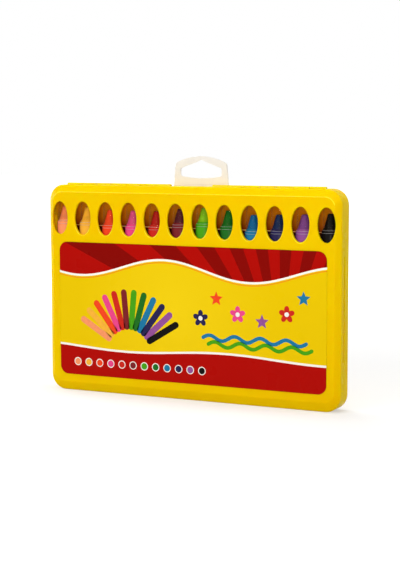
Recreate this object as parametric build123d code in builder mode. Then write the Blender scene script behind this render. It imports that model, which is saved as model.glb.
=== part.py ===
# Twist crayon set: a hinged hanging case with a tray and twelve capped twist crayons.
# Millimetres, +Z up, width along X, front towards -Y, origin under the middle of the whole part.
import os

from build123d import *

# Colours of the crayons from left to right, and how far each one rides above its seat
colours = ["peach", "amber", "vermilion", "pink", "red", "maroon",
           "lime", "green", "sky", "navy", "purple", "black"]
rides = [3.3, 2.6, 1.0, 0.7, 0.8, 2.9, 4.0, 2.6, 0.0, 0.7, 1.2, 2.1]

# Crayon sizes
barrel_wall = 1.55
barrel_taper = 0.35
barrel_taper_len = 30.0
barrel_len = 96.6
collar_groove_w = 0.8
collar_groove_deep = 0.35
collar_groove_below = 1.2
collar_bevel = 0.5
nose_len = 1.6
nose_wall = 0.4
knob_len = 17.0
knob_taper = 0.5
knob_round = 3.6
knob_gap = 0.2
flutes = 10
flute_r = 0.9
flute_deep = 0.35
flute_rim = 1.6
wax_r = 4.75
wax_tip_taper = 2.45
wax_tip_round = 0.5
wax_show = 9.35
wax_len = 58.75
wax_tail_len = 10.0

# Twist mechanism inside the barrel
slide_fit = 0.1
feed_up = 8.0
feed_down = 6.4
bush_wall = 1.25
bush_len = 6.8
flange_over = 0.7
flange_len = 1.0
end_gap = 0.3
spindle_r = 2.25
cup_floor = 2.0
cup_wall = 0.8
cup_fit = 0.05
sleeve_air = 2.3
sleeve_wall = 1.05
fin_w = 1.4
fin_high = 0.55
fin_fit = 0.1

# Clear cap
cap_wall = 0.5
cap_fit = 0.1
cap_air = 4.05
cap_dome = 8.0
cap_lean = 0.5
cap_crown = 3.2

# Case
wall = 1.5
top_wall = 2.0
crayon_gap = 5.7
side_gap = 0.55
front_gap = 0.7
head_gap = 0.4
seat_gap = 0.3
corner_r = 11.0
seam_ahead = 1.2
seam_gap = 0.3
bevel_deep = 2.8
bevel_side = 3.9
bevel_top = 4.9
bevel_bottom = 6.7
edge_round = 1.2
back_round = 2.0
tongue_high = 1.6
tongue_wall = 1.0
tongue_root = 1.2
tongue_stop = 22.0
relief_low = 33.0
relief_len = 70.0
relief_deep = 0.8
relief_wide = 1.6

# Windows and label
window_w = 12.7
window_h = 23.3
window_rise = 5.95
window_round = 0.8
label_side = 9.15
label_bottom = 12.0
label_gap = 5.4
label_r = 6.2
label_t = 0.25
label_fit = 0.1

# Lid hinge
hinge_rise = 0.2
knuckle_r = 1.2
knuckle_gap = 0.3
knuckles = 7
pin_r = 0.6
pin_fit = 0.08
pin_press = 0.02
hinge_middle = 32.2
hinge_end = 12.5

# Tray
tray_fit = 0.3
tray_wall = 0.55
tray_rib = 0.8
tray_end = 2.2
cradle_fit = 0.15
shelf_drop = 2.1
shelf_out = 2.4
ledge_over = 0.7

# Hanging tab and its guide
tab_w = 42.0
tab_taper = 1.4
tab_arch = 4.9
tab_t = 1.0
tab_shift = 2.0
tab_round = 2.5
foot_over = 2.0
foot_high = 14.0
guide_fit = 0.25
guide_lip = 1.0
guide_rail = 1.6
guide_drop = 2.2
stop_len = 4.0
lip_over = 3.0
slot_side = 5.2
slot_low = 5.4
slot_bow = 1.5
slot_straight = 5.3
slot_rim = 3.4
slot_notch = 4.0
slot_crown = 4.1
slot_peak = 2.3
slot_round = 1.8
slot_soft = 0.9

# How near an edge or corner lies to a place that picks it
near = 0.05

# Radii of a crayon and places along it, measured from its rear end
bore_r = wax_r + slide_fit
barrel_r = bore_r + barrel_wall
wax_tip_r = wax_r - wax_tip_taper
cup_r = wax_r - cup_wall
wax_tail_r = cup_r - cup_fit
spigot_r = bore_r - bush_wall - slide_fit
barrel_rear = knob_len + knob_gap
collar = barrel_rear + barrel_len
mouth = collar + nose_len
tip = mouth + wax_show
bush_top = barrel_rear + bush_len
flange_low = bush_top + end_gap
wax_low = tip - wax_len
cup_low = wax_low - cup_floor
cup_high = wax_low + wax_tail_len
sleeve_low = flange_low + flange_len + feed_down + sleeve_air
spindle_top = cup_low - feed_down - end_gap * 2
key_top = cup_high + feed_up + end_gap * 5
key_r = bore_r + fin_high
cap_r = barrel_r - collar_bevel
nose_r = cap_r - cap_wall - cap_fit
cap_len = nose_len + wax_show + feed_up + cap_air
cap_side = cap_len - cap_dome
knob_r = barrel_r - barrel_taper

# Places in the case, with depths measured back from the front face
pitch = 2 * barrel_r + crayon_gap
count = len(colours)
tongue_in = wall + seam_gap + tongue_wall
case_w = (count - 1) * pitch + 2 * (barrel_r + side_gap + tongue_in)
axis_d = wall + front_gap + barrel_r
tray_d = axis_d + barrel_r + cradle_fit + tray_wall
case_d = tray_d + wall
guide_d = case_d + 2 * guide_fit + tab_t + guide_lip
front_y = -guide_d / 2
seat_z = wall + tray_fit + tray_end + seat_gap
case_h = seat_z + collar + max(rides) + cap_len + head_gap + top_wall
collar_z = seat_z + collar
ledge_z = collar_z + ledge_over
window_z = collar_z + window_rise
seam_d = axis_d - seam_ahead
lid_d = seam_d - seam_gap / 2
base_d = seam_d + seam_gap / 2
hinge_z = case_h + hinge_rise
axis_y = front_y + axis_d
axis_x = [(i - (count - 1) / 2) * pitch for i in range(count)]
label_w = case_w - 2 * label_side
label_top = window_z - window_h / 2 - label_gap
label_z = (label_bottom + label_top) / 2
strip_in = hinge_middle / 2
strip_len = case_w / 2 - hinge_end - strip_in
knuckle_len = (strip_len - (knuckles - 1) * knuckle_gap) / knuckles

slot_half = tab_w / 2 - slot_side
tab_side_h = slot_low + slot_bow + slot_straight + slot_rim
tab_high = tab_side_h + tab_arch
foot_w = tab_w + 2 * foot_over
guide_high = case_h - guide_drop
stop_z = guide_high - stop_len
foot_top = stop_z - guide_fit - case_h
foot_low = foot_top - foot_high
foot_floor = case_h + foot_low - tab_high - guide_fit
guide_low = foot_floor - guide_rail

os.makedirs("parts", exist_ok=True)


def save(piece, name):
    piece.label = name
    export_step(piece, "parts/" + name + ".step")


def depth(d):
    # Upright plane at a depth behind the front face, facing forwards
    return Plane.XZ.offset(-(front_y + d))


def outline(inset, low, top, radius):
    # Rounded outline of the case, drawn in from each side
    with Locations((0, (low + case_h - top) / 2)):
        RectangleRounded(case_w - 2 * inset, case_h - low - top, radius)


def knuckle_places(first):
    # Middles of every second knuckle on both hinge strips
    step = knuckle_len + knuckle_gap
    along = [strip_in + knuckle_len / 2 + k * step for k in range(first, knuckles, 2)]
    return [(side * x, front_y + seam_d, hinge_z) for side in (-1, 1) for x in along]


def rods(places, radius, length, mode):
    # Round bars along X at the given places
    with Locations(*[Location(p, (0, 90, 0)) for p in places]):
        Cylinder(radius, length, mode=mode)


# Crayon barrel with its bevelled collar, groove, nose, bush and two key ways
with BuildPart() as barrel:
    with BuildSketch(Plane.XZ):
        with BuildLine():
            groove_top = collar - collar_groove_below
            groove_low = groove_top - collar_groove_w
            Polyline((knob_r, barrel_rear), (barrel_r, barrel_rear + barrel_taper_len),
                     (barrel_r, groove_low - collar_groove_deep),
                     (barrel_r - collar_groove_deep, groove_low),
                     (barrel_r - collar_groove_deep, groove_top), (barrel_r, groove_top),
                     (barrel_r, collar - collar_bevel), (cap_r, collar), (nose_r, collar),
                     (bore_r + nose_wall, mouth),
                     (bore_r, mouth), (bore_r, bush_top), (spigot_r + slide_fit, bush_top),
                     (spigot_r + slide_fit, barrel_rear), close=True)
        make_face()
    revolve(axis=Axis.Z)
    with BuildSketch(Plane.XY.offset(bush_top)):
        Rectangle(2 * key_r + 2 * fin_fit, fin_w + 2 * fin_fit)
    extrude(amount=key_top - bush_top, mode=Mode.SUBTRACT)

# Twist knob with grip flutes, a spigot, a retaining flange and the spindle
with BuildPart() as knob:
    with BuildSketch(Plane.XZ):
        with BuildLine():
            low_r = knob_r - knob_taper
            Line((0, 0), (low_r - knob_round, 0))
            RadiusArc((low_r - knob_round, 0), (low_r, knob_round), -knob_round)
            Polyline((low_r, knob_round), (knob_r, knob_len), (spigot_r, knob_len),
                     (spigot_r, flange_low), (spigot_r + flange_over, flange_low),
                     (spigot_r, flange_low + flange_len), (spindle_r, flange_low + flange_len),
                     (spindle_r, spindle_top), (0, spindle_top), (0, 0))
        make_face()
    revolve(axis=Axis.Z)
    flute_low = knob_round + flute_rim
    flute_len = knob_len - flute_rim - flute_low
    with Locations((0, 0, flute_low + flute_len / 2)):
        with PolarLocations(knob_r + flute_r - flute_deep, flutes):
            Cylinder(flute_r, flute_len, mode=Mode.SUBTRACT)

# Carrier: a cup for the wax on a sleeve that runs on the spindle, with two fins in the key ways
with BuildPart() as carrier:
    with BuildSketch(Plane.XZ):
        with BuildLine():
            sleeve_in = spindle_r + slide_fit
            Polyline((sleeve_in, sleeve_low), (sleeve_in + sleeve_wall, sleeve_low),
                     (sleeve_in + sleeve_wall, cup_low), (wax_r, cup_low), (wax_r, cup_high),
                     (cup_r, cup_high), (cup_r, wax_low), (0, wax_low), (0, cup_low),
                     (sleeve_in, cup_low), close=True)
        make_face()
    revolve(axis=Axis.Z)
    with BuildSketch(Plane.XY.offset(cup_low)):
        Rectangle(2 * key_r, fin_w)
        Circle(cup_r, mode=Mode.SUBTRACT)
    extrude(amount=cup_high - cup_low)

# Wax stick with its blunt tapered tip and the tail that sits in the carrier
with BuildPart() as stick:
    with BuildSketch(Plane.XZ):
        with BuildLine():
            Polyline((0, wax_low), (wax_tail_r, wax_low), (wax_tail_r, cup_high), (wax_r, cup_high),
                     (wax_r, mouth), (wax_tip_r, tip - wax_tip_round),
                     (wax_tip_r - wax_tip_round, tip), (0, tip), close=True)
        make_face()
    revolve(axis=Axis.Z)

# Clear cap that stands on the collar over the nose and the wax
with BuildPart() as cap:
    with BuildSketch(Plane.XZ):
        out_r = cap_r - cap_lean
        in_r = out_r - cap_wall
        top_r = out_r - cap_crown
        with BuildLine():
            Line((cap_r, 0), (out_r, cap_side))
            TangentArc((out_r, cap_side), (top_r, cap_len), tangent=(0, 1))
            Polyline((top_r, cap_len), (0, cap_len), (0, cap_len - cap_wall),
                     (top_r - cap_wall, cap_len - cap_wall))
            TangentArc((in_r, cap_side), (top_r - cap_wall, cap_len - cap_wall), tangent=(0, 1))
            Polyline((in_r, cap_side), (cap_r - cap_wall, 0), (cap_r, 0))
        make_face()
    revolve(axis=Axis.Z)

for x, ride, colour in zip(axis_x, rides, colours):
    seat = Location((x, axis_y, seat_z + ride))
    save(barrel.part.moved(seat), "barrel_" + colour)
    save(knob.part.moved(seat), "knob_" + colour)
    save(carrier.part.moved(seat), "carrier_" + colour)
    save(stick.part.moved(seat), "stick_" + colour)

with BuildPart() as clear_caps:
    with Locations(*[(x, axis_y, collar_z + ride) for x, ride in zip(axis_x, rides)]):
        add(cap.part)
save(clear_caps.part, "clear_caps")

# Lid: a bevelled front shell with oval windows, a label recess and its hinge knuckles
with BuildPart() as case_lid:
    with BuildSketch(depth(lid_d)):
        outline(0, 0, 0, corner_r)
    extrude(amount=lid_d - bevel_deep)
    with BuildSketch(depth(bevel_deep)):
        outline(0, 0, 0, corner_r)
    with BuildSketch(depth(0)):
        outline(bevel_side, bevel_bottom, bevel_top, corner_r - bevel_side)
    loft()
    bevel_y = front_y + bevel_deep
    fillet(case_lid.faces().sort_by(Axis.Y)[0].edges(), edge_round)
    fillet(case_lid.edges().filter_by_position(Axis.Y, bevel_y - near, bevel_y + near), edge_round)
    with BuildSketch(depth(lid_d)):
        outline(wall, wall, top_wall, corner_r - wall)
    extrude(amount=lid_d - bevel_deep - wall / 2, mode=Mode.SUBTRACT)
    with BuildSketch(depth(bevel_deep + wall / 2)):
        outline(wall, wall, top_wall, corner_r - wall)
    with BuildSketch(depth(wall)):
        inner = wall / 3
        outline(bevel_side + inner, bevel_bottom + inner, bevel_top + inner,
                corner_r - bevel_side - inner)
    loft(mode=Mode.SUBTRACT)
    with BuildSketch(depth(bevel_deep)):
        with Locations((0, window_z)):
            with GridLocations(pitch, 0, count, 1):
                Ellipse(window_w / 2, window_h / 2)
    extrude(amount=bevel_deep, mode=Mode.SUBTRACT)
    fillet(case_lid.faces().sort_by(Axis.Y)[0].inner_wires().edges(), window_round)
    with BuildSketch(depth(label_t)):
        with Locations((0, label_z)):
            RectangleRounded(label_w + 2 * label_fit, label_top - label_bottom + 2 * label_fit,
                             label_r + label_fit)
    extrude(amount=label_t, mode=Mode.SUBTRACT)
    rods(knuckle_places(1), knuckle_r, knuckle_len, Mode.ADD)
    rods(knuckle_places(1), pin_r + pin_fit, knuckle_len, Mode.SUBTRACT)
    rods(knuckle_places(0), knuckle_r + knuckle_gap, knuckle_len + 2 * knuckle_gap, Mode.SUBTRACT)
save(case_lid.part, "case_lid")

# Printed label in the recess
with BuildPart() as label:
    with BuildSketch(depth(label_t)):
        with Locations((0, label_z)):
            RectangleRounded(label_w, label_top - label_bottom, label_r)
    extrude(amount=label_t)
save(label.part, "label")

# Base: the rear shell with its locating tongue, finger reliefs, knuckles and tab guide
with BuildPart() as case_base:
    with BuildSketch(depth(base_d)):
        outline(0, 0, 0, corner_r)
    extrude(amount=base_d - case_d)
    fillet(case_base.faces().sort_by(Axis.Y)[-1].edges(), back_round)
    with BuildSketch(depth(tray_d)):
        outline(wall, wall, top_wall, corner_r - wall)
    extrude(amount=tray_d - base_d, mode=Mode.SUBTRACT)
    # Locating tongue inside the rim and the root that carries it, left off next to the hinge
    for start, inset, high in ((base_d + tongue_root, wall, tongue_root),
                               (base_d, wall + seam_gap, tongue_high)):
        with BuildSketch(depth(start)):
            outline(inset, inset, 0, corner_r - inset)
            with BuildSketch(mode=Mode.SUBTRACT):
                outline(tongue_in, tongue_in, 0, corner_r - tongue_in)
                with Locations((0, case_h)):
                    Rectangle(case_w, 2 * tongue_stop)
        extrude(amount=high)
    with BuildSketch(depth(base_d)):
        with Locations((0, relief_low + relief_len / 2)):
            with GridLocations(case_w, 0, 2, 1):
                Rectangle(2 * relief_deep, relief_len)
    extrude(amount=-relief_wide, mode=Mode.SUBTRACT)
    rods(knuckle_places(0), knuckle_r, knuckle_len, Mode.ADD)
    rods(knuckle_places(0), pin_r + pin_press, knuckle_len, Mode.SUBTRACT)
    rods(knuckle_places(1), knuckle_r + knuckle_gap, knuckle_len + 2 * knuckle_gap, Mode.SUBTRACT)
    # Guide on the back: two lipped rails, a floor, and stops that narrow the mouth for the tab
    with BuildSketch(depth(tray_d)):
        with Locations((tab_shift, (guide_low + guide_high) / 2)):
            Rectangle(foot_w + 2 * guide_fit + 2 * guide_rail, guide_high - guide_low)
    extrude(amount=tray_d - guide_d)
    with BuildSketch(depth(case_d)):
        with Locations((tab_shift, (foot_floor + stop_z) / 2)):
            Rectangle(foot_w + 2 * guide_fit, stop_z - foot_floor)
        with Locations((tab_shift, (stop_z + guide_high) / 2)):
            Rectangle(tab_w + 2 * guide_fit, guide_high - stop_z)
    extrude(amount=case_d - guide_d + guide_lip, mode=Mode.SUBTRACT)
    with BuildSketch(depth(case_d)):
        with Locations((tab_shift, (foot_floor + guide_high) / 2)):
            Rectangle(foot_w - 2 * lip_over, guide_high - foot_floor)
    extrude(amount=case_d - guide_d, mode=Mode.SUBTRACT)
save(case_base.part, "case_base")

# Two hinge pins, one through each strip of knuckles
with BuildPart() as hinge_pins:
    middle = strip_in + strip_len / 2
    rods([(side * middle, front_y + seam_d, hinge_z) for side in (-1, 1)], pin_r, strip_len, Mode.ADD)
save(hinge_pins.part, "hinge_pins")

# Tray: a thin wave of cradles under a notched shelf, with a flat sheet behind the caps
with BuildPart() as crayon_tray:
    half_w = case_w / 2 - wall - tray_fit
    shelf_d = axis_d + shelf_drop
    ridge_d = shelf_d + shelf_out
    tray_low = wall + tray_fit
    tray_high = case_h - top_wall - tray_fit
    cradle_r = barrel_r + cradle_fit

    def tray_block(top_d):
        # Cross section from a depth back to the case wall
        with Locations((0, front_y + (top_d + tray_d) / 2)):
            Rectangle(2 * half_w, tray_d - top_d)

    def cradles(radius):
        with Locations(*[(x, axis_y) for x in axis_x]):
            Circle(radius, mode=Mode.SUBTRACT)

    with BuildSketch(Plane.XY.offset(tray_low)):
        tray_block(shelf_d)
    extrude(amount=tray_end)
    with BuildSketch(Plane.XY.offset(tray_low)):
        tray_block(ridge_d)
        cradles(cradle_r)
    extrude(amount=ledge_z - tray_low)
    with BuildSketch(Plane.XY.offset(tray_low + tray_end)):
        tray_block(ridge_d + tray_rib)
        cradles(cradle_r + tray_rib)
    extrude(amount=ledge_z - tray_rib - tray_low - tray_end, mode=Mode.SUBTRACT)
    with BuildSketch(Plane.XY.offset(ledge_z - tray_rib)):
        tray_block(shelf_d)
        cradles(cradle_r)
    extrude(amount=tray_rib)
    with BuildSketch(Plane.XY.offset(ledge_z)):
        tray_block(tray_d - tray_wall)
    extrude(amount=tray_high - ledge_z)
    with BuildSketch(depth(tray_d)):
        with Locations((0, (tray_low + tray_high) / 2)):
            RectangleRounded(2 * half_w, tray_high - tray_low, corner_r - wall - tray_fit)
    extrude(amount=tray_d, mode=Mode.INTERSECT)
save(crayon_tray.part, "crayon_tray")

# Hanging tab with an arched top, a peaked hanging slot and a wide foot that the guide holds
with BuildPart() as hang_tab:
    tab_back = front_y + case_d + guide_fit + tab_t
    with BuildSketch(Plane((tab_shift, tab_back, case_h), (1, 0, 0), (0, -1, 0))) as tab_face:
        half = tab_w / 2
        top = half - tab_taper
        with BuildLine():
            Polyline((-top, tab_side_h), (-half, 0), (-half, foot_top), (half, foot_top),
                     (half, 0), (top, tab_side_h))
            ThreePointArc((top, tab_side_h), (0, tab_high), (-top, tab_side_h))
        make_face()
        fillet(tab_face.vertices().group_by(Axis.Y)[-1], tab_round)
        with Locations((0, foot_top - foot_high / 2)):
            Rectangle(foot_w, foot_high)
        with BuildSketch(mode=Mode.SUBTRACT) as slot:
            low = slot_low + slot_bow
            high = tab_side_h - slot_rim
            with BuildLine():
                Polyline((slot_half, low), (slot_half, high), (slot_notch, tab_high - slot_crown),
                         (0, tab_high - slot_peak), (-slot_notch, tab_high - slot_crown),
                         (-slot_half, high), (-slot_half, low))
                ThreePointArc((-slot_half, low), (0, slot_low), (slot_half, low))
            make_face()
            fillet(slot.vertices().filter_by(lambda v: abs(v.X) > slot_half - near), slot_round)
            fillet(slot.vertices().filter_by(lambda v: abs(v.X) < slot_notch + near), slot_soft)
    extrude(amount=tab_t)
save(hang_tab.part, "hang_tab")

print("case", round(case_w, 2), round(case_h, 2), round(case_d, 2), "pitch", pitch)
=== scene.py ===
import math

import bmesh
import bpy
from mathutils import Matrix, Vector


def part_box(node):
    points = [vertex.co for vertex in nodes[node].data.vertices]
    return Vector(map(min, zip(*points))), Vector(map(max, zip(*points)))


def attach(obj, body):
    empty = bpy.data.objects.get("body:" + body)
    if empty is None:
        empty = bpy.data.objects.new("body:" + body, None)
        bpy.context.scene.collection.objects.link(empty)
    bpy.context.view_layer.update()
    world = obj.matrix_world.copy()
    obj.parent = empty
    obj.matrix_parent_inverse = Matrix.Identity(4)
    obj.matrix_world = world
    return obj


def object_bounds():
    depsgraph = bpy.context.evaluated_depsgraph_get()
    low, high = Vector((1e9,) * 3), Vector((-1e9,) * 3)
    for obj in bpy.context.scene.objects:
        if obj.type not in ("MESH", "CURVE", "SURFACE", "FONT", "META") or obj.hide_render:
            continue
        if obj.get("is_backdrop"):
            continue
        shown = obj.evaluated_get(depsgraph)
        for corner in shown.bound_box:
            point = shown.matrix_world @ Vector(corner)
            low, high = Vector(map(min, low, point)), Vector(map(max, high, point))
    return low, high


# Twist crayon set: the finishes, label print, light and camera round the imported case
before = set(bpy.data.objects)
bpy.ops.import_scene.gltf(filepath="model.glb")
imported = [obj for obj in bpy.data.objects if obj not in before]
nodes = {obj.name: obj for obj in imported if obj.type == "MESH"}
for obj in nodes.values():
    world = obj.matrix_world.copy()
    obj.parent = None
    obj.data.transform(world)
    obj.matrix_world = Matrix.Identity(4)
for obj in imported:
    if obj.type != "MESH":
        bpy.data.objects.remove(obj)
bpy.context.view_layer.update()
mm = 0.001
colours = ["peach", "amber", "vermilion", "pink", "red", "maroon",
           "lime", "green", "sky", "navy", "purple", "black"]

noiseMiddle = (0.3, 0.7)   # most of a noise lies between these
fineDetail = 3.0           # noise detail for skins, wax and ink
glossFineness = 6          # gloss varies this many times finer than colour


def linear(rgb):
    # screen colour out of 255 as the linear colour that a shader takes
    parts = [c / 255 for c in rgb]
    return tuple(c / 12.92 if c <= 0.04045 else ((c + 0.055) / 1.055) ** 2.4 for c in parts) + (1.0,)


def shade(rgb, amount):
    # a darker screen colour for amount under 1
    return tuple(c * amount for c in rgb)


def shaderOf(finish):
    return finish.node_tree.nodes["Principled BSDF"]


def newFinish(name):
    finish = bpy.data.materials.new(name)
    finish.use_nodes = True
    return finish, finish.node_tree, shaderOf(finish)


def calc(tree, operation, a, b=0.0):
    # one math node; a and b are sockets or plain numbers
    node = tree.nodes.new("ShaderNodeMath")
    node.operation = operation
    for socket, value in zip(node.inputs, (a, b)):
        if isinstance(value, (int, float)):
            socket.default_value = value
        else:
            tree.links.new(value, socket)
    return node.outputs[0]


def within(tree, value, low, high):
    # 1 where low < value < high
    above = calc(tree, "GREATER_THAN", value, low)
    return calc(tree, "MULTIPLY", above, calc(tree, "LESS_THAN", value, high))


def clamped(tree, value):
    return calc(tree, "MINIMUM", calc(tree, "MAXIMUM", value, 0.0), 1.0)


def mixColour(tree, factor, a, b):
    # a where factor is 0, b where it is 1; each is a socket or a screen colour
    node = tree.nodes.new("ShaderNodeMix")
    node.data_type = "RGBA"
    tree.links.new(factor, node.inputs["Factor"])
    for socket, value in zip((node.inputs[6], node.inputs[7]), (a, b)):   # the two colour sockets
        if isinstance(value, tuple):
            socket.default_value = linear(value)
        else:
            tree.links.new(value, socket)
    return node.outputs[2]


def objectPlace(tree):
    return tree.nodes.new("ShaderNodeTexCoord").outputs["Object"]


def axesOf(tree, vector):
    node = tree.nodes.new("ShaderNodeSeparateXYZ")
    tree.links.new(vector, node.inputs["Vector"])
    return node.outputs


def noise(tree, scale, detail=2.0, stretch=(1, 1, 1)):
    # soft noise in the piece's own metres, drawn out along an axis by a small stretch value
    spread = tree.nodes.new("ShaderNodeMapping")
    spread.inputs["Scale"].default_value = stretch
    tree.links.new(objectPlace(tree), spread.inputs["Vector"])
    node = tree.nodes.new("ShaderNodeTexNoise")
    node.inputs["Scale"].default_value = scale
    node.inputs["Detail"].default_value = detail
    tree.links.new(spread.outputs["Vector"], node.inputs["Vector"])
    return node.outputs["Fac"]


def ranged(tree, value, low, high):
    # the useful middle of a noise, spread between two numbers
    node = tree.nodes.new("ShaderNodeMapRange")
    node.inputs["From Min"].default_value = noiseMiddle[0]
    node.inputs["From Max"].default_value = noiseMiddle[1]
    node.inputs["To Min"].default_value = low
    node.inputs["To Max"].default_value = high
    tree.links.new(value, node.inputs["Value"])
    return node.outputs["Result"]


def bump(tree, shader, height, depth, strength=1.0):
    node = tree.nodes.new("ShaderNodeBump")
    node.inputs["Strength"].default_value = strength
    node.inputs["Distance"].default_value = depth
    tree.links.new(height, node.inputs["Height"])
    tree.links.new(node.outputs["Normal"], shader.inputs["Normal"])


def mouldedPlastic(name, look):
    # plastic with a faint drift of colour, uneven gloss and a fine moulded skin
    finish, tree, shader = newFinish(name)
    drift = ranged(tree, noise(tree, look["driftScale"]), 0.0, 1.0)
    tree.links.new(mixColour(tree, drift, look["colour"], look["deepColour"]), shader.inputs["Base Color"])
    gloss = ranged(tree, noise(tree, look["driftScale"] * glossFineness), *look["roughness"])
    tree.links.new(gloss, shader.inputs["Roughness"])
    shader.inputs["Specular IOR Level"].default_value = look["shine"]
    bump(tree, shader, noise(tree, look["skinScale"], fineDetail), look["skinDepth"])
    return finish


def paint(nodeName, finish):
    nodes[nodeName].data.materials.clear()
    nodes[nodeName].data.materials.append(finish)


def addObject(name, data):
    thing = bpy.data.objects.new(name, data)
    bpy.context.scene.collection.objects.link(thing)
    return thing


# Case: two shells of yellow plastic that lets a little light in
casePlastic = {"colour": (247, 206, 2), "deepColour": (244, 200, 1), "roughness": (0.2, 0.3),
               "shine": 0.015, "driftScale": 14.0, "skinScale": 900.0, "skinDepth": 0.004 * mm,
               "glow": 0.85, "glowTint": (0.9, 0.7, 0.03), "glowReach": 1.6 * mm,
               "softEdge": 0.7 * mm, "edgeSamples": 6,
               # the last three set a painted highlight: a paler colour on rounded front edges that face up
               "edgeHighlight": (255, 232, 62), "highlightRise": (0.1, 0.34), "highlightFront": -0.87}


def letGlow(finish, look):
    # light that passes a little way into the plastic, so that thin walls glow
    shader = shaderOf(finish)
    shader.inputs["Subsurface Weight"].default_value = look["glow"]
    shader.inputs["Subsurface Radius"].default_value = look["glowTint"]
    shader.inputs["Subsurface Scale"].default_value = look["glowReach"]


def paintEdgeHighlight(finish, look):
    # painted highlight: rounded front edges that face up are painted paler, as a thin line where lamp light
    # glints
    tree = finish.node_tree
    baseColour = shaderOf(finish).inputs["Base Color"]
    plain = baseColour.links[0].from_socket
    facing = axesOf(tree, tree.nodes.new("ShaderNodeTexCoord").outputs["Normal"])
    rising = within(tree, facing["Z"], *look["highlightRise"])
    front = calc(tree, "LESS_THAN", facing["Y"], look["highlightFront"])
    tree.links.new(mixColour(tree, calc(tree, "MULTIPLY", rising, front), plain, look["edgeHighlight"]), baseColour)


def softenEdges(finish, look):
    # moulded edges are a little round, so they catch the light
    tree = finish.node_tree
    edge = tree.nodes.new("ShaderNodeBevel")
    edge.samples = look["edgeSamples"]
    edge.inputs["Radius"].default_value = look["softEdge"]
    tree.links.new(edge.outputs["Normal"], tree.nodes["Bump"].inputs["Normal"])


caseFinish = mouldedPlastic("caseYellow", casePlastic)
letGlow(caseFinish, casePlastic)
# paints a pale highlight line on the front edges that face up
paintEdgeHighlight(caseFinish, casePlastic)
softenEdges(caseFinish, casePlastic)
paint("case_lid", caseFinish)
paint("case_base", caseFinish)

# Tray: its heights and depths are places in the CAD's frame
# the tray's colours include painted shade, deeper near the shelf and dark under it, and a painted highlight
# line on the shelf's front edge
trayPlastic = {"colour": (255, 154, 1), "deepColour": (253, 142, 0), "roughness": (0.2, 0.3),
               "shine": 0.03, "driftScale": 20.0, "skinScale": 700.0, "skinDepth": 0.006 * mm,
               "underShelfShade": (90, 30, 2), "edgeColour": (250, 196, 120), "shelfTop": 118.8 * mm,
               "shelfThick": 0.8 * mm, "glintThick": 0.45 * mm, "glintOver": 0.05 * mm,
               "shelfFront": 1.1 * mm, "footShade": (150, 54, 1), "footShadeReach": 12.0 * mm}


def trayFinish():
    # amber plastic with painted shade, deeper at the sheet's foot and dark below the shelf, and a painted
    # highlight as a pale line on the shelf's edge
    look = trayPlastic
    finish = mouldedPlastic("trayAmber", look)
    tree = finish.node_tree
    baseColour = shaderOf(finish).inputs["Base Color"]
    amber = baseColour.links[0].from_socket
    axes = axesOf(tree, objectPlace(tree))
    overShelf = calc(tree, "SUBTRACT", axes["Z"], look["shelfTop"])
    # painted shade: darkest at the shelf, fading to amber higher up
    rise = clamped(tree, calc(tree, "DIVIDE", overShelf, look["footShadeReach"]))
    colour = mixColour(tree, rise, look["footShade"], amber)
    # painted shade: dark below the shelf
    underShelf = calc(tree, "LESS_THAN", axes["Z"], look["shelfTop"] - look["shelfThick"])
    colour = mixColour(tree, underShelf, colour, look["underShelfShade"])
    # painted highlight: a pale line along the shelf's front edge
    glintBand = within(tree, overShelf, -look["glintThick"], look["glintOver"])
    glintFront = calc(tree, "LESS_THAN", axes["Y"], look["shelfFront"])
    colour = mixColour(tree, calc(tree, "MULTIPLY", glintBand, glintFront), colour, look["edgeColour"])
    tree.links.new(colour, baseColour)
    return finish


paint("crayon_tray", trayFinish())

# Hanging tab: milky plastic that lets some light through
tabPlastic = {"colour": (245, 242, 236), "deepColour": (242, 238, 230), "roughness": (0.35, 0.5),
              "shine": 0.2, "driftScale": 40.0, "skinScale": 600.0, "skinDepth": 0.006 * mm,
              "milkiness": 0.12}
tabFinish = mouldedPlastic("tabMilky", tabPlastic)
shaderOf(tabFinish).inputs["Transmission Weight"].default_value = tabPlastic["milkiness"]
paint("hang_tab", tabFinish)

# Hinge pins: drawn steel
pinSteel = {"colour": (196, 198, 202), "deepColour": (170, 172, 178), "roughness": (0.2, 0.35),
            "shine": 0.5, "driftScale": 80.0, "skinScale": 2500.0, "skinDepth": 0.004 * mm}
pinFinish = mouldedPlastic("pinSteel", pinSteel)
shaderOf(pinFinish).inputs["Metallic"].default_value = 1.0
paint("hinge_pins", pinFinish)
print("case finishes done")

# Crayons: a barrel and knob in one colour, a wax stick close to it, and a white carrier inside
carrierPlastic = {"colour": (236, 234, 226), "deepColour": (226, 223, 214), "roughness": (0.35, 0.5),
                  "shine": 0.4, "driftScale": 60.0, "skinScale": 900.0, "skinDepth": 0.004 * mm}
crayonLook = {"roughness": (0.14, 0.2), "shine": 0.05, "driftScale": 50.0, "skinScale": 900.0,
              "skinDepth": 0.004 * mm, "deepShade": 0.95}
waxLook = {"roughness": (0.3, 0.45), "glossScale": 400.0, "shine": 0.04,
           "cloudScale": 220.0, "cloudShade": 0.9,
           "scratchScale": 1500.0, "scratchStretch": (0.2, 0.2, 1), "scratchDepth": 0.02 * mm,
           "scratchStrength": 0.5, "glow": 0.08, "glowReach": 1.2 * mm}
waxColour = {"peach": (255, 136, 84), "amber": (255, 178, 46), "vermilion": (246, 70, 30),
             "pink": (224, 80, 132), "red": (180, 26, 18), "maroon": (84, 26, 36),
             "lime": (128, 190, 22), "green": (18, 100, 22), "sky": (12, 98, 152),
             "navy": (20, 40, 82), "purple": (124, 66, 136), "black": (15, 12, 11)}
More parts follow.
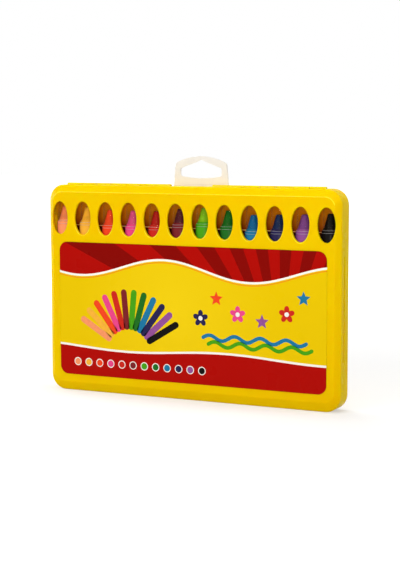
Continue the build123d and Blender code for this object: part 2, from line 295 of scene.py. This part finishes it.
crayonColour = {"peach": (255, 156, 104), "amber": (255, 186, 62), "vermilion": (250, 74, 36),
                "pink": (242, 74, 142), "red": (212, 44, 32), "maroon": (128, 38, 42),
                "lime": (74, 166, 26), "green": (34, 112, 36), "sky": (34, 124, 168),
                "navy": (42, 38, 82), "purple": (152, 84, 156), "black": (20, 17, 15)}


def barrelFinish(colour):
    rgb = crayonColour[colour]
    look = {**crayonLook, "colour": rgb, "deepColour": shade(rgb, crayonLook["deepShade"])}
    return mouldedPlastic("plastic." + colour, look)


def waxFinish(colour):
    # wax with cloudy colour, fine drag lines round the stick and a little glow under the surface
    look = waxLook
    finish, tree, shader = newFinish("wax." + colour)
    rgb = waxColour[colour]
    cloud = ranged(tree, noise(tree, look["cloudScale"], fineDetail), 0.0, 1.0)
    clouded = mixColour(tree, cloud, rgb, shade(rgb, look["cloudShade"]))
    tree.links.new(clouded, shader.inputs["Base Color"])
    gloss = ranged(tree, noise(tree, look["glossScale"]), *look["roughness"])
    tree.links.new(gloss, shader.inputs["Roughness"])
    shader.inputs["Specular IOR Level"].default_value = look["shine"]
    shader.inputs["Subsurface Weight"].default_value = look["glow"]
    shader.inputs["Subsurface Scale"].default_value = look["glowReach"]
    lines = noise(tree, look["scratchScale"], stretch=look["scratchStretch"])
    bump(tree, shader, lines, look["scratchDepth"], look["scratchStrength"])
    return finish


carrierFinish = mouldedPlastic("carrierWhite", carrierPlastic)
for colour in colours:
    shell = barrelFinish(colour)
    paint("barrel_" + colour, shell)
    paint("knob_" + colour, shell)
    paint("stick_" + colour, waxFinish(colour))
    paint("carrier_" + colour, carrierFinish)
print("crayon finishes done")

# Clear caps: see-through plastic, paler and more of a mirror towards its edges
capClear = {"tint": (253, 253, 251), "edgeColour": (250, 214, 160), "roughness": (0.04, 0.1),
            "hazeScale": 300.0, "mirror": 0.4, "slantBlend": 0.5,
            "mirrorFacing": 0.002, "mirrorEdge": 0.5, "mirrorFall": 5.0}


def capFinish():
    look = capClear
    finish, tree, shader = newFinish("capClear")
    shader.inputs["Base Color"].default_value = linear(look["edgeColour"])
    shader.inputs["Metallic"].default_value = look["mirror"]
    haze = noise(tree, look["hazeScale"])
    tree.links.new(ranged(tree, haze, *look["roughness"]), shader.inputs["Roughness"])
    passing = tree.nodes.new("ShaderNodeBsdfTransparent")
    passing.inputs["Color"].default_value = linear(look["tint"])
    slant = tree.nodes.new("ShaderNodeLayerWeight")
    slant.inputs["Blend"].default_value = look["slantBlend"]
    edge = calc(tree, "POWER", slant.outputs["Facing"], look["mirrorFall"])
    mirror = calc(tree, "ADD", calc(tree, "MULTIPLY", edge, look["mirrorEdge"]), look["mirrorFacing"])
    choice = tree.nodes.new("ShaderNodeMixShader")
    tree.links.new(mirror, choice.inputs["Fac"])
    tree.links.new(passing.outputs["BSDF"], choice.inputs[1])
    tree.links.new(shader.outputs["BSDF"], choice.inputs[2])
    tree.links.new(choice.outputs["Shader"], tree.nodes["Material Output"].inputs["Surface"])
    return finish


paint("clear_caps", capFinish())

# Cap lips: two thin beads that catch the light, coloured pale as painted highlight lines, one at the cap's
# mouth and one in the collar's groove
capLip = {"noseLength": 1.6 * mm, "upperRise": 0.2 * mm, "upperRadius": 5.95 * mm,
          "lowerDrop": 1.6 * mm, "lowerRadius": 6.2 * mm, "bead": 0.16 * mm,
          # the beads' pale colour is a painted highlight, lightened from the barrel's colour
          "highlightPaleness": 0.5, "hazeShade": 0.94, "see": 0.15, "roughness": (0.1, 0.2), "shine": 0.3,
          "turns": 72, "sides": 10}


def lipFinish(colour):
    # a pale tone of the barrel's colour, painted as the highlight line that a clear rim shows
    look = capLip
    finish, tree, shader = newFinish("capLip." + colour)
    highlightTone = tuple(c + (255 - c) * look["highlightPaleness"] for c in crayonColour[colour])
    haze = ranged(tree, noise(tree, capClear["hazeScale"]), 0.0, 1.0)
    hazed = mixColour(tree, haze, highlightTone, shade(highlightTone, look["hazeShade"]))
    tree.links.new(hazed, shader.inputs["Base Color"])
    gloss = ranged(tree, noise(tree, capClear["hazeScale"]), *look["roughness"])
    tree.links.new(gloss, shader.inputs["Roughness"])
    shader.inputs["Specular IOR Level"].default_value = look["shine"]
    shader.inputs["Alpha"].default_value = 1 - look["see"]
    return finish


def addBead(mesh, middle, radius):
    # one closed ring of round section about an upright axis
    rows = []
    for i in range(capLip["turns"]):
        turn = 2 * math.pi * i / capLip["turns"]
        row = []
        for k in range(capLip["sides"]):
            roll = 2 * math.pi * k / capLip["sides"]
            reach = radius + capLip["bead"] * math.cos(roll)
            lift = capLip["bead"] * math.sin(roll)
            spot = middle + Vector((reach * math.cos(turn), reach * math.sin(turn), lift))
            row.append(mesh.verts.new(spot))
        rows.append(row)
    for i, row in enumerate(rows):
        following = rows[(i + 1) % len(rows)]
        for k in range(capLip["sides"]):
            j = (k + 1) % capLip["sides"]
            mesh.faces.new((row[k], following[k], following[j], row[j])).smooth = True


for colour in colours:
    low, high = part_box("barrel_" + colour)
    collar = Vector(((low.x + high.x) / 2, (low.y + high.y) / 2, high.z - capLip["noseLength"]))
    beads = bmesh.new()
    addBead(beads, collar + Vector((0, 0, capLip["upperRise"])), capLip["upperRadius"])
    addBead(beads, collar - Vector((0, 0, capLip["lowerDrop"])), capLip["lowerRadius"])
    lipMesh = bpy.data.meshes.new("capLip." + colour)
    beads.to_mesh(lipMesh)
    beads.free()
    lip = addObject("capLip." + colour, lipMesh)
    lipMesh.materials.append(lipFinish(colour))
    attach(lip, "case")
print("caps done")

# Label print: waves of red with sun rays, white piping and a yellow middle; lengths are mm on the label
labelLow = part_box("label")[0]
labelPrint = {"yellow": (238, 200, 3), "paleYellow": (245, 210, 18), "red": (178, 11, 4),
              "rayRed": (136, 7, 2), "white": (252, 249, 240), "orange": (243, 150, 24),
              "waveMiddle": 79.0, "waveRise": 6.5, "waveLength": 132.0, "waveShift": 52.0,
              "piping": 1.5, "lineGap": 0.7, "line": 0.8,
              "sunAcross": 70.0, "sunUp": 20.0, "rayAngle": 13.0, "rayShare": 0.5, "rayStart": 40.0,
              "stripMiddle": 20.0, "stripRise": 1.8, "stripLength": 150.0, "stripShift": 10.0,
              "glowAcross": -10.0, "glowUp": 48.0, "glowReach": 75.0,
              "roughness": (0.26, 0.36), "glossScale": 60.0, "shine": 0.04,
              "paperScale": 1800.0, "paperDepth": 0.002 * mm}


def labelFinish():
    look = labelPrint
    finish, tree, shader = newFinish("labelPrint")
    axes = axesOf(tree, objectPlace(tree))
    across = calc(tree, "MULTIPLY", axes["X"], 1 / mm)
    up = calc(tree, "MULTIPLY", calc(tree, "SUBTRACT", axes["Z"], labelLow.z), 1 / mm)

    def wave(middle, rise, length, shift):
        turn = calc(tree, "MULTIPLY", calc(tree, "ADD", across, shift), 2 * math.pi / length)
        return calc(tree, "ADD", calc(tree, "MULTIPLY", calc(tree, "SINE", turn), rise), middle)

    def distance(acrossMiddle, upMiddle):
        squares = []
        for value, middle in ((across, acrossMiddle), (up, upMiddle)):
            reach = calc(tree, "ABSOLUTE", calc(tree, "SUBTRACT", value, middle))
            squares.append(calc(tree, "POWER", reach, 2.0))
        return calc(tree, "SQRT", calc(tree, "ADD", *squares))

    def over(value, limit, colour, ink):
        # the colour so far, with an ink on it where the value is over the limit
        return mixColour(tree, calc(tree, "GREATER_THAN", value, limit), colour, ink)

    upperWave = wave(look["waveMiddle"], look["waveRise"], look["waveLength"], look["waveShift"])
    above = calc(tree, "SUBTRACT", up, upperWave)
    lowerWave = wave(look["stripMiddle"], look["stripRise"], look["stripLength"], look["stripShift"])
    below = calc(tree, "SUBTRACT", lowerWave, up)
    angle = calc(tree, "ARCTAN2", calc(tree, "SUBTRACT", up, look["sunUp"]),
                 calc(tree, "SUBTRACT", across, look["sunAcross"]))
    rayCount = calc(tree, "DIVIDE", angle, math.radians(look["rayAngle"]))
    ray = calc(tree, "FRACT", calc(tree, "ADD", rayCount, look["rayStart"]))   # the start keeps it positive
    fade = calc(tree, "DIVIDE", distance(look["glowAcross"], look["glowUp"]), look["glowReach"])
    glow = calc(tree, "MAXIMUM", calc(tree, "SUBTRACT", 1.0, fade), 0.0)
    colour = mixColour(tree, glow, look["yellow"], look["paleYellow"])
    lineTop = -look["piping"] - look["lineGap"]
    colour = mixColour(tree, within(tree, above, lineTop - look["line"], lineTop), colour, look["orange"])
    colour = over(above, -look["piping"], colour, look["white"])
    colour = over(above, 0.0, colour, over(ray, look["rayShare"], look["red"], look["rayRed"]))
    colour = over(below, -look["piping"], colour, look["white"])
    colour = over(below, 0.0, colour, look["red"])
    tree.links.new(colour, shader.inputs["Base Color"])
    gloss = ranged(tree, noise(tree, look["glossScale"]), *look["roughness"])
    tree.links.new(gloss, shader.inputs["Roughness"])
    shader.inputs["Specular IOR Level"].default_value = look["shine"]
    bump(tree, shader, noise(tree, look["paperScale"], fineDetail), look["paperDepth"])
    return finish


paint("label", labelFinish())

# Inks: thin closed shapes on the label, each layer a step in front of the one below
inkLook = {"step": 0.015 * mm, "driftScale": 500.0, "deepShade": 0.95}


def inkFinish(name, rgb):
    # printed ink with a faint unevenness
    finish, tree, shader = newFinish("ink." + name)
    drift = ranged(tree, noise(tree, inkLook["driftScale"], fineDetail), 0.0, 1.0)
    uneven = mixColour(tree, drift, rgb, shade(rgb, inkLook["deepShade"]))
    tree.links.new(uneven, shader.inputs["Base Color"])
    gloss = ranged(tree, noise(tree, labelPrint["glossScale"]), *labelPrint["roughness"])
    tree.links.new(gloss, shader.inputs["Roughness"])
    shader.inputs["Specular IOR Level"].default_value = labelPrint["shine"]
    return finish


def inkPiece(name, corners, rgb, layer):
    # one closed thin shape from its (across, up) corners in mm on the label
    sheet = bmesh.new()
    front = labelLow.y - layer * inkLook["step"]
    back = labelLow.y + inkLook["step"]
    ring = [sheet.verts.new((a * mm, front, labelLow.z + u * mm)) for a, u in corners]
    rear = [sheet.verts.new((a * mm, back, labelLow.z + u * mm)) for a, u in corners]
    sheet.faces.new(ring)
    sheet.faces.new(rear[::-1])
    for i in range(len(ring)):
        j = (i + 1) % len(ring)
        sheet.faces.new((ring[j], ring[i], rear[i], rear[j]))
    bmesh.ops.recalc_face_normals(sheet, faces=sheet.faces[:])
    mesh = bpy.data.meshes.new(name)
    sheet.to_mesh(mesh)
    sheet.free()
    piece = addObject(name, mesh)
    mesh.materials.append(inkFinish(name, rgb))
    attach(piece, "lid")


def ringOf(across, up, radius, petals=0, notch=0.0, steps=80):
    # a circle, or a flower whose petals meet in notches
    angles = [math.pi / 2 + 2 * math.pi * i / steps for i in range(steps)]
    lift = [abs(math.cos(petals * (a - math.pi / 2) / 2)) for a in angles]
    reach = [radius * (1 - notch * (1 - s)) for s in lift]
    return [(across + r * math.cos(a), up + r * math.sin(a)) for a, r in zip(angles, reach)]


def starOf(across, up, radius, points, inner):
    # an upright star; inner is the share of the radius at which its points meet
    angles = [math.pi / 2 + math.pi * i / points for i in range(2 * points)]
    reach = [radius, radius * inner] * points
    return [(across + r * math.cos(a), up + r * math.sin(a)) for a, r in zip(angles, reach)]


def wavyLine(start, end, up, rise, length, steps=60):
    spots = [start + (end - start) * i / steps for i in range(steps + 1)]
    return [(a, up + rise * math.sin(2 * math.pi * (a - start) / length)) for a in spots]


def headingOf(a, b):
    return math.atan2(b[1] - a[1], b[0] - a[0])


def strokeOf(points, width, endSteps=8):
    # a ribbon of even width along points, with round ends
    left = []
    right = []
    for i, (a, u) in enumerate(points):
        heading = headingOf(points[max(i - 1, 0)], points[min(i + 1, len(points) - 1)])
        offset = (-math.sin(heading) * width / 2, math.cos(heading) * width / 2)
        left.append((a + offset[0], u + offset[1]))
        right.append((a - offset[0], u - offset[1]))

    def roundEnd(middle, start):
        angles = [start - math.pi * k / endSteps for k in range(1, endSteps)]
        return [(middle[0] + width / 2 * math.cos(t), middle[1] + width / 2 * math.sin(t)) for t in angles]

    far = roundEnd(points[-1], headingOf(points[-2], points[-1]) + math.pi / 2)
    near = roundEnd(points[0], headingOf(points[0], points[1]) - math.pi / 2)
    return left + far + right[::-1] + near


# A fan of colour bars on the left and dots along the lower strip
colourFan = {"across": -46.0, "up": 18.0, "near": 19.0, "far": 43.0, "width": 4.6, "spread": 118.0}
stripDots = {"first": -88.0, "step": 9.0, "up": 9.6, "radius": 2.3, "rim": 0.6}
for i, colour in enumerate(colours):
    angle = math.radians(90 + colourFan["spread"] * (0.5 - i / (len(colours) - 1)))
    ends = [(colourFan["across"] + r * math.cos(angle), colourFan["up"] + r * math.sin(angle))
            for r in (colourFan["near"], colourFan["far"])]
    middle = tuple((p + q) / 2 for p, q in zip(*ends))
    bar = strokeOf([ends[0], middle, ends[1]], colourFan["width"])
    inkPiece("fanBar." + colour, bar, crayonColour[colour], 1)
    dotAcross = stripDots["first"] + i * stripDots["step"]
    dot = ringOf(dotAcross, stripDots["up"], stripDots["radius"])
    inkPiece("stripDot." + colour, dot, crayonColour[colour], 2)
    rim = ringOf(dotAcross, stripDots["up"], stripDots["radius"] + stripDots["rim"])
    inkPiece("stripRim." + colour, rim, labelPrint["white"], 1)

# Doodles on the right: two waves, stars and flowers, placed by (across, up)
doodles = {"starRadius": 5.2, "starPoints": 5, "starInner": 0.45,
           "flowerRadius": 5.8, "petals": 5, "petalNotch": 0.5, "heartRadius": 1.6,
           "waveWidth": 2.6, "waveRise": 1.8, "waveLength": 19.0}
waves = {"sky": {"up": 33.0, "start": 12.0, "end": 88.0},
         "lime": {"up": 28.6, "start": 16.0, "end": 92.0}}
stars = {"vermilion": (22.0, 60.0), "purple": (56.0, 46.0), "sky": (86.0, 63.0)}
flowers = {"pink": (38.0, 50.0), "red": (74.0, 52.0), "navy": (10.0, 46.0)}
for name, look in waves.items():
    line = wavyLine(look["start"], look["end"], look["up"], doodles["waveRise"], doodles["waveLength"])
    inkPiece("doodleWave." + name, strokeOf(line, doodles["waveWidth"]), crayonColour[name], 1)
for name, (a, u) in stars.items():
    star = starOf(a, u, doodles["starRadius"], doodles["starPoints"], doodles["starInner"])
    inkPiece("doodleStar." + name, star, crayonColour[name], 1)
for name, (a, u) in flowers.items():
    petals = ringOf(a, u, doodles["flowerRadius"], doodles["petals"], doodles["petalNotch"])
    inkPiece("doodleFlower." + name, petals, crayonColour[name], 1)
    inkPiece("doodleHeart." + name, ringOf(a, u, doodles["heartRadius"]), labelPrint["white"], 2)
print("label print done")

# Floor and world: white to the eye, with a plain light on the object
stage = {"floorSize": 8.0, "floorColour": (204, 204, 204), "floorRoughness": 0.9, "floorLift": 0.42,
         "fadeStart": 0.3, "fadeLength": 0.5, "worldLight": 0.2}


def whiteForSight(tree):
    # 1 for rays that show the background: straight, mirrored or through clear plastic
    rays = tree.nodes.new("ShaderNodeLightPath")
    seen = calc(tree, "MAXIMUM", rays.outputs["Is Camera Ray"], rays.outputs["Is Glossy Ray"])
    return calc(tree, "MAXIMUM", seen, rays.outputs["Is Transmission Ray"])


def makeFloor():
    half = stage["floorSize"] / 2
    corners = [(-half, -half, 0), (half, -half, 0), (half, half, 0), (-half, half, 0)]
    mesh = bpy.data.meshes.new("floor")
    mesh.from_pydata(corners, [], [(0, 1, 2, 3)])
    floor = addObject("floor", mesh)
    finish, tree, shader = newFinish("floorPale")
    shader.inputs["Base Color"].default_value = linear(stage["floorColour"])
    shader.inputs["Roughness"].default_value = stage["floorRoughness"]
    shader.inputs["Specular IOR Level"].default_value = 0.0
    shader.inputs["Emission Color"].default_value = (1, 1, 1, 1)
    reach = tree.nodes.new("ShaderNodeVectorMath")
    reach.operation = "LENGTH"
    tree.links.new(objectPlace(tree), reach.inputs[0])
    past = calc(tree, "SUBTRACT", reach.outputs["Value"], stage["fadeStart"])
    away = clamped(tree, calc(tree, "DIVIDE", past, stage["fadeLength"]))   # 0 by the object, 1 far from it
    lift = calc(tree, "ADD", calc(tree, "MULTIPLY", away, 1 - stage["floorLift"]), stage["floorLift"])
    tree.links.new(calc(tree, "MULTIPLY", whiteForSight(tree), lift), shader.inputs["Emission Strength"])
    mesh.materials.append(finish)
    floor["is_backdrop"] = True


def makeWorld():
    world = bpy.data.worlds.new("studio")
    bpy.context.scene.world = world
    world.use_nodes = True
    tree = world.node_tree
    back = tree.nodes["Background"]
    back.inputs["Color"].default_value = (1, 1, 1, 1)
    seen = calc(tree, "MULTIPLY", whiteForSight(tree), 1 - stage["worldLight"])
    tree.links.new(calc(tree, "ADD", seen, stage["worldLight"]), back.inputs["Strength"])


# Lamps: soft areas in metres and watts, all aimed at the middle of the case
lampAim = Vector((0, 0, 0.07))
lamps = {"key": {"place": (-0.34, -0.86, 0.66), "across": 0.8, "deep": 0.1, "power": 3.4},
         "front": {"place": (0.42, -1.08, 0.16), "across": 0.3, "deep": 0.3, "power": 3.7},
         "strip": {"place": (0.05, -0.22, 0.31), "across": 0.5, "deep": 0.04, "power": 0.25},
         "top": {"place": (0.05, 0.06, 1.1), "across": 0.5, "deep": 0.3, "power": 4.4},
         "side": {"place": (1.1, 0.25, 0.5), "across": 0.5, "deep": 0.5, "power": 2.7},
         "left": {"place": (-0.9, 0.25, 0.35), "across": 0.5, "deep": 0.5, "power": 5.0},
         "rear": {"place": (-0.75, 1.05, 0.6), "across": 0.6, "deep": 0.6, "power": 3.6}}


def makeLamp(name, look):
    lamp = bpy.data.lights.new(name, "AREA")
    lamp.shape = "RECTANGLE"
    lamp.size = look["across"]
    lamp.size_y = look["deep"]
    lamp.energy = look["power"]
    holder = addObject(name, lamp)
    holder.location = look["place"]
    holder.visible_camera = False
    aim = lampAim - Vector(look["place"])
    holder.rotation_euler = aim.to_track_quat("-Z", "Y").to_euler()


# Camera: fitted to the photograph, angles in degrees
photoView = {"place": (0.4517, -0.8948, 0.1871), "azimuth": 26.54, "down": 6.13, "roll": -0.135,
             "sensorWidth": 36.0, "focalPixels": 1458.7, "longSidePixels": 570}


def makeCamera():
    lens = bpy.data.cameras.new("photoCamera")
    lens.sensor_width = photoView["sensorWidth"]
    lens.lens = lens.sensor_width * photoView["focalPixels"] / photoView["longSidePixels"]
    camera = addObject("photoCamera", lens)
    turn = Matrix.Rotation(math.radians(photoView["azimuth"]), 4, "Z")
    tilt = Matrix.Rotation(math.radians(90 - photoView["down"]), 4, "X")
    roll = Matrix.Rotation(math.radians(photoView["roll"]), 4, "Z")
    camera.matrix_world = Matrix.Translation(photoView["place"]) @ turn @ tilt @ roll
    bpy.context.scene.camera = camera


makeFloor()
makeWorld()
for name, look in lamps.items():
    makeLamp(name, look)
makeCamera()
bpy.context.scene.view_settings.view_transform = "Standard"
print("stage done")

low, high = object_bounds()
